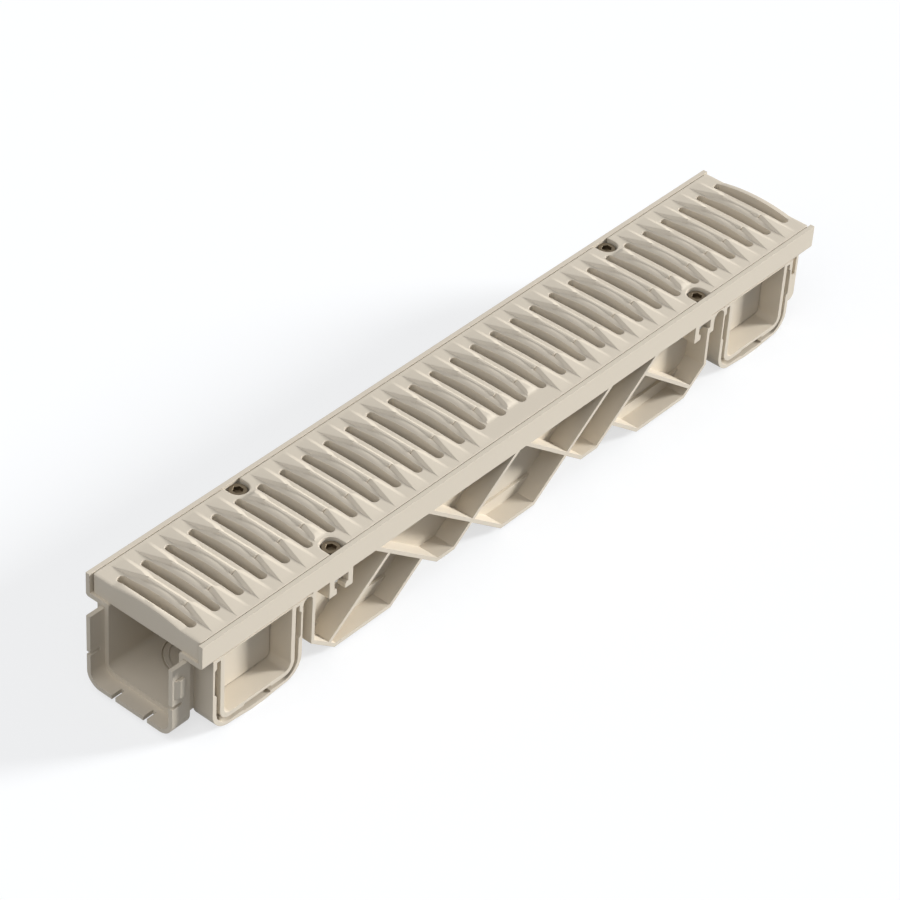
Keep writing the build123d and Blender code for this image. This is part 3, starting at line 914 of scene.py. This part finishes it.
def thread_tree():
    """A helical thread: a spiral along the shank with a diamond section."""
    tree, given = new_tree("screw_thread", {
        "Turns": "NodeSocketFloat", "Radius": "NodeSocketFloat", "Length": "NodeSocketFloat",
        "Depth": "NodeSocketFloat", "Start": "NodeSocketVector"})
    spiral = add_node(tree, "GeometryNodeCurveSpiral", values={"Resolution": 24},
                      links={"Rotations": given["Turns"], "Start Radius": given["Radius"],
                             "End Radius": given["Radius"], "Height": given["Length"]})
    section = add_node(tree, "GeometryNodeCurvePrimitiveCircle", values={"Resolution": 4},
                       links={"Radius": given["Depth"]})
    sweep = add_node(tree, "GeometryNodeCurveToMesh", values={"Fill Caps": True},
                     links={"Curve": spiral.outputs["Curve"], "Profile Curve": section.outputs["Curve"]})
    place = add_node(tree, "GeometryNodeTransform",
                     links={"Geometry": sweep.outputs["Mesh"], "Translation": given["Start"]})
    add_node(tree, "NodeGroupOutput", links={"Geometry": place.outputs["Geometry"]})
    return tree


def four_places_tree():
    """Sets a fixing at the four corners of a rectangle."""
    tree, given = new_tree("four_fixings", {
        "Fixing": "NodeSocketObject", "Along": "NodeSocketFloat", "Across": "NodeSocketFloat",
        "Middle": "NodeSocketVector"})
    corners = add_node(tree, "GeometryNodeMeshGrid", values={"Vertices X": 2, "Vertices Y": 2},
                       links={"Size X": given["Along"], "Size Y": given["Across"]})
    placed = add_node(tree, "GeometryNodeTransform",
                      links={"Geometry": corners.outputs["Mesh"], "Translation": given["Middle"]})
    fixing = add_node(tree, "GeometryNodeObjectInfo", links={"Object": given["Fixing"]})
    set_out = add_node(tree, "GeometryNodeInstanceOnPoints",
                       links={"Points": placed.outputs["Geometry"], "Instance": fixing.outputs["Geometry"]})
    real = add_node(tree, "GeometryNodeRealizeInstances", links={"Geometry": set_out.outputs["Instances"]})
    add_node(tree, "NodeGroupOutput", links={"Geometry": real.outputs["Geometry"]})
    return tree


class DRAIN_OT_screws(bpy.types.Operator):
    """Build the four socket screws with their threads"""
    bl_idname = "drain.screws"
    bl_label = "Screws"

    def execute(self, context):
        sizes = context.scene.drain_fixings
        material = oiled_steel("oiled_steel", context.scene.drain_finish.steel)
        low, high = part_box(SCREW_NODES[0])
        seat = RIM_TOP - RECESS_DEPTH
        radius = size(SCREW_NODES[0]).x / 2
        top = high[2] - seat
        tip = low[2] - seat
        core = sizes.shank_radius - sizes.thread_depth
        chamfer = sizes.head_chamfer

        def socket(turn):
            return hexagon_reach(turn, sizes.socket_width)

        def socket_mouth(turn):
            return socket(turn) + chamfer / 2

        shape = bmesh.new()
        add_turned(shape, [
            (core - chamfer, tip), (core, tip + chamfer), (core, 0.0), (radius - chamfer / 2, 0.0),
            (radius, chamfer / 2), (radius, top - chamfer), (radius - 0.3 * chamfer, top - 0.3 * chamfer),
            (radius - chamfer, top), (socket_mouth, top), (socket, top - chamfer / 2),
            (socket, top - sizes.socket_depth),
            (SOCKET_TIP_RADIUS, top - sizes.socket_depth - SOCKET_TIP_DEPTH)], closed=False)
        length = -tip - 2 * sizes.thread_depth
        thread = grown_mesh("thread", thread_tree(), {
            "Turns": length / sizes.thread_pitch, "Radius": core, "Length": length,
            "Depth": sizes.thread_depth, "Start": (0.0, 0.0, tip + sizes.thread_depth)})
        shape.from_mesh(thread)
        place_four(shape, "socket_screws", SCREW_NODES, seat, material)
        return {"FINISHED"}


def place_four(shape, name, nodes, height, material):
    """Sets a fixing at its four nodes' places, and lets it stand for them."""
    mesh = bpy.data.meshes.new(name + "_one")
    shape.to_mesh(mesh)
    shape.free()
    one = bpy.data.objects.new(name + "_one", mesh)
    places = [middle(node) for node in nodes]
    along = max(place.x for place in places) - min(place.x for place in places)
    across = max(place.y for place in places) - min(place.y for place in places)
    centre = sum(places, Vector()) / len(places)
    grown = grown_mesh(name, four_places_tree(), {
        "Fixing": one, "Along": along, "Across": across, "Middle": (centre.x, centre.y, height)})
    bpy.data.objects.remove(one)
    piece = new_piece(name, grown)
    finish_piece(piece, material, SHARP_ANGLE)
    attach(piece, "root")
    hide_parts(*nodes)


class DRAIN_OT_nuts(bpy.types.Operator):
    """Build the four hexagon nuts in their pockets"""
    bl_idname = "drain.nuts"
    bl_label = "Nuts"

    def execute(self, context):
        sizes = context.scene.drain_fixings
        material = zinc_plated_steel("zinc_plated_steel", context.scene.drain_finish.nut_steel)
        low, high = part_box(NUT_NODES[0])
        flats = size(NUT_NODES[0]).x
        height = high[2] - low[2]
        round_at = flats / 2 * NUT_FACE
        bore = sizes.shank_radius + NUT_BORE_PLAY

        def outside(turn):
            return hexagon_reach(turn, flats)

        def lower_corner(turn):
            return max(outside(turn) - round_at, 0.0) * NUT_CHAMFER_SLOPE

        def upper_corner(turn):
            return height - lower_corner(turn)

        shape = bmesh.new()
        add_turned(shape, [
            (bore, NUT_CHAMFER), (bore + NUT_CHAMFER, 0.0), (round_at, 0.0), (outside, lower_corner),
            (outside, upper_corner), (round_at, height), (bore + NUT_CHAMFER, height),
            (bore, height - NUT_CHAMFER)], closed=True)
        place_four(shape, "hexagon_nuts", NUT_NODES, low[2], material)
        return {"FINISHED"}


class DRAIN_OT_stage(bpy.types.Operator):
    """Set the floor, the lamps and the camera"""
    bl_idname = "drain.stage"
    bl_label = "Stage"

    def execute(self, context):
        scene = context.scene
        stage = scene.drain_stage
        scene.view_settings.view_transform = "Standard"
        floor_mesh = bpy.data.meshes.new("floor")
        half = FLOOR_HALF
        floor_mesh.from_pydata([(-half, -half, 0), (half, -half, 0), (half, half, 0), (-half, half, 0)], [],
                               [(0, 1, 2, 3)])
        floor = bpy.data.objects.new("floor", floor_mesh)
        scene.collection.objects.link(floor)
        floor_mesh.materials.append(pale_floor())
        world = bpy.data.worlds.new("studio")
        world.use_nodes = True
        world.node_tree.nodes.clear()
        white_world(world.node_tree, stage.fill_strength)
        scene.world = world
        far_light(scene, "key", KEY_FROM, stage.key_strength, stage.key_angle)
        far_light(scene, "top", TOP_FROM, stage.top_strength, stage.top_angle)
        camera = bpy.data.cameras.new("camera")
        camera.lens = LENS
        camera.sensor_width = 36.0
        camera.clip_end = 50.0
        view = bpy.data.objects.new("camera", camera)
        right, up, back = (Vector(axis) for axis in CAMERA_AXES)
        turn = Matrix((right, up, back)).transposed().to_4x4()
        view.matrix_world = Matrix.Translation(Vector((CAD_BOX[1][0], 0, 0)) + Vector(CAMERA_PLACE)) @ turn
        scene.collection.objects.link(view)
        scene.camera = view
        return {"FINISHED"}


# The floor, the light that it and the sky give, and the sides that the two lamps come from
FLOOR_HALF = 6.0
FLOOR_COLOUR = "9B9D9F"
FLOOR_GLOW = 0.68
SKY_COLOUR = "F2F6FF"
KEY_FROM = (0.81, -0.50, 0.30)
TOP_FROM = (-0.62, 0.0, 0.8)

# The camera that takes the photograph's view, placed from the rim's right end
LENS = 138.0
CAMERA_PLACE = (-2.7888, -1.7857, 2.3689)
CAMERA_AXES = ((0.65395, -0.75460, 0.05401), (0.44611, 0.44229, 0.77805), (-0.61101, -0.48472, 0.62588))


def far_light(scene, name, side, strength, angle):
    """A light so far away that it is as strong at both ends of the channel."""
    light = bpy.data.lights.new(name, "SUN")
    light.energy = strength
    light.angle = angle
    thing = bpy.data.objects.new(name, light)
    thing.rotation_euler = Vector(side).to_track_quat("Z", "Y").to_euler()
    scene.collection.objects.link(thing)


def seen_directly(tree):
    """1 for light on its way to the camera, straight, by a reflection or through the object."""
    path = add_node(tree, "ShaderNodeLightPath").outputs
    mirrored = calculate(tree, "MAXIMUM", path["Is Camera Ray"], path["Is Glossy Ray"])
    return calculate(tree, "MAXIMUM", mirrored, path["Is Transmission Ray"])


def pale_floor():
    """A plain pale floor that shows white to the camera and keeps the object's shadow."""
    material, tree = new_material("pale_floor")
    matte = add_node(tree, "ShaderNodeBsdfDiffuse", values={"Color": linear(FLOOR_COLOUR)})
    glow = add_node(tree, "ShaderNodeEmission", values={"Color": linear("FFFFFF"), "Strength": FLOOR_GLOW})
    both = add_node(tree, "ShaderNodeAddShader",
                    links={0: matte.outputs["BSDF"], 1: glow.outputs["Emission"]})
    shader = add_node(tree, "ShaderNodeMixShader",
                      links={0: seen_directly(tree), 1: matte.outputs["BSDF"], 2: both.outputs["Shader"]})
    add_node(tree, "ShaderNodeOutputMaterial", links={"Surface": shader.outputs["Shader"]})
    return material


def white_world(tree, strength):
    """White where the camera sees it, and an even grey light for the object."""
    even = add_node(tree, "ShaderNodeBackground", values={"Color": linear(SKY_COLOUR), "Strength": strength})
    white = add_node(tree, "ShaderNodeBackground", values={"Color": linear("FFFFFF"), "Strength": 1.0})
    shader = add_node(tree, "ShaderNodeMixShader",
                      links={0: seen_directly(tree), 1: even.outputs["Background"],
                             2: white.outputs["Background"]})
    add_node(tree, "ShaderNodeOutputWorld", links={"Surface": shader.outputs["Shader"]})


class DRAIN_PT_panel(bpy.types.Panel):
    bl_label = "Channel drain"
    bl_space_type = "VIEW_3D"
    bl_region_type = "UI"
    bl_category = "Channel drain"

    def draw(self, context):
        layout = self.layout
        scene = context.scene
        for holder in GROUPS:
            group = getattr(scene, holder)
            for name in group.__annotations__:
                layout.prop(group, name)
        for operator in OPERATORS:
            layout.operator(operator.bl_idname)


GROUPS = {"drain_moulding": MouldingSettings, "drain_grate": GrateSettings, "drain_fixings": FixingSettings,
          "drain_finish": FinishSettings, "drain_stage": StageSettings}
OPERATORS = (DRAIN_OT_channel, DRAIN_OT_grate, DRAIN_OT_screws, DRAIN_OT_nuts, DRAIN_OT_stage)


def register():
    for kind in GROUPS.values():
        bpy.utils.register_class(kind)
    for name, kind in GROUPS.items():
        setattr(bpy.types.Scene, name, PointerProperty(type=kind))
    for kind in OPERATORS + (DRAIN_PT_panel,):
        bpy.utils.register_class(kind)


def unregister():
    for kind in (DRAIN_PT_panel,) + OPERATORS[::-1]:
        bpy.utils.unregister_class(kind)
    for name in GROUPS:
        delattr(bpy.types.Scene, name)
    for kind in reversed(list(GROUPS.values())):
        bpy.utils.unregister_class(kind)


def main():
    register()
    bpy.ops.drain.channel()
    bpy.ops.drain.grate()
    bpy.ops.drain.screws()
    bpy.ops.drain.nuts()
    bpy.ops.drain.stage()


if __name__ == "__main__":
    main()
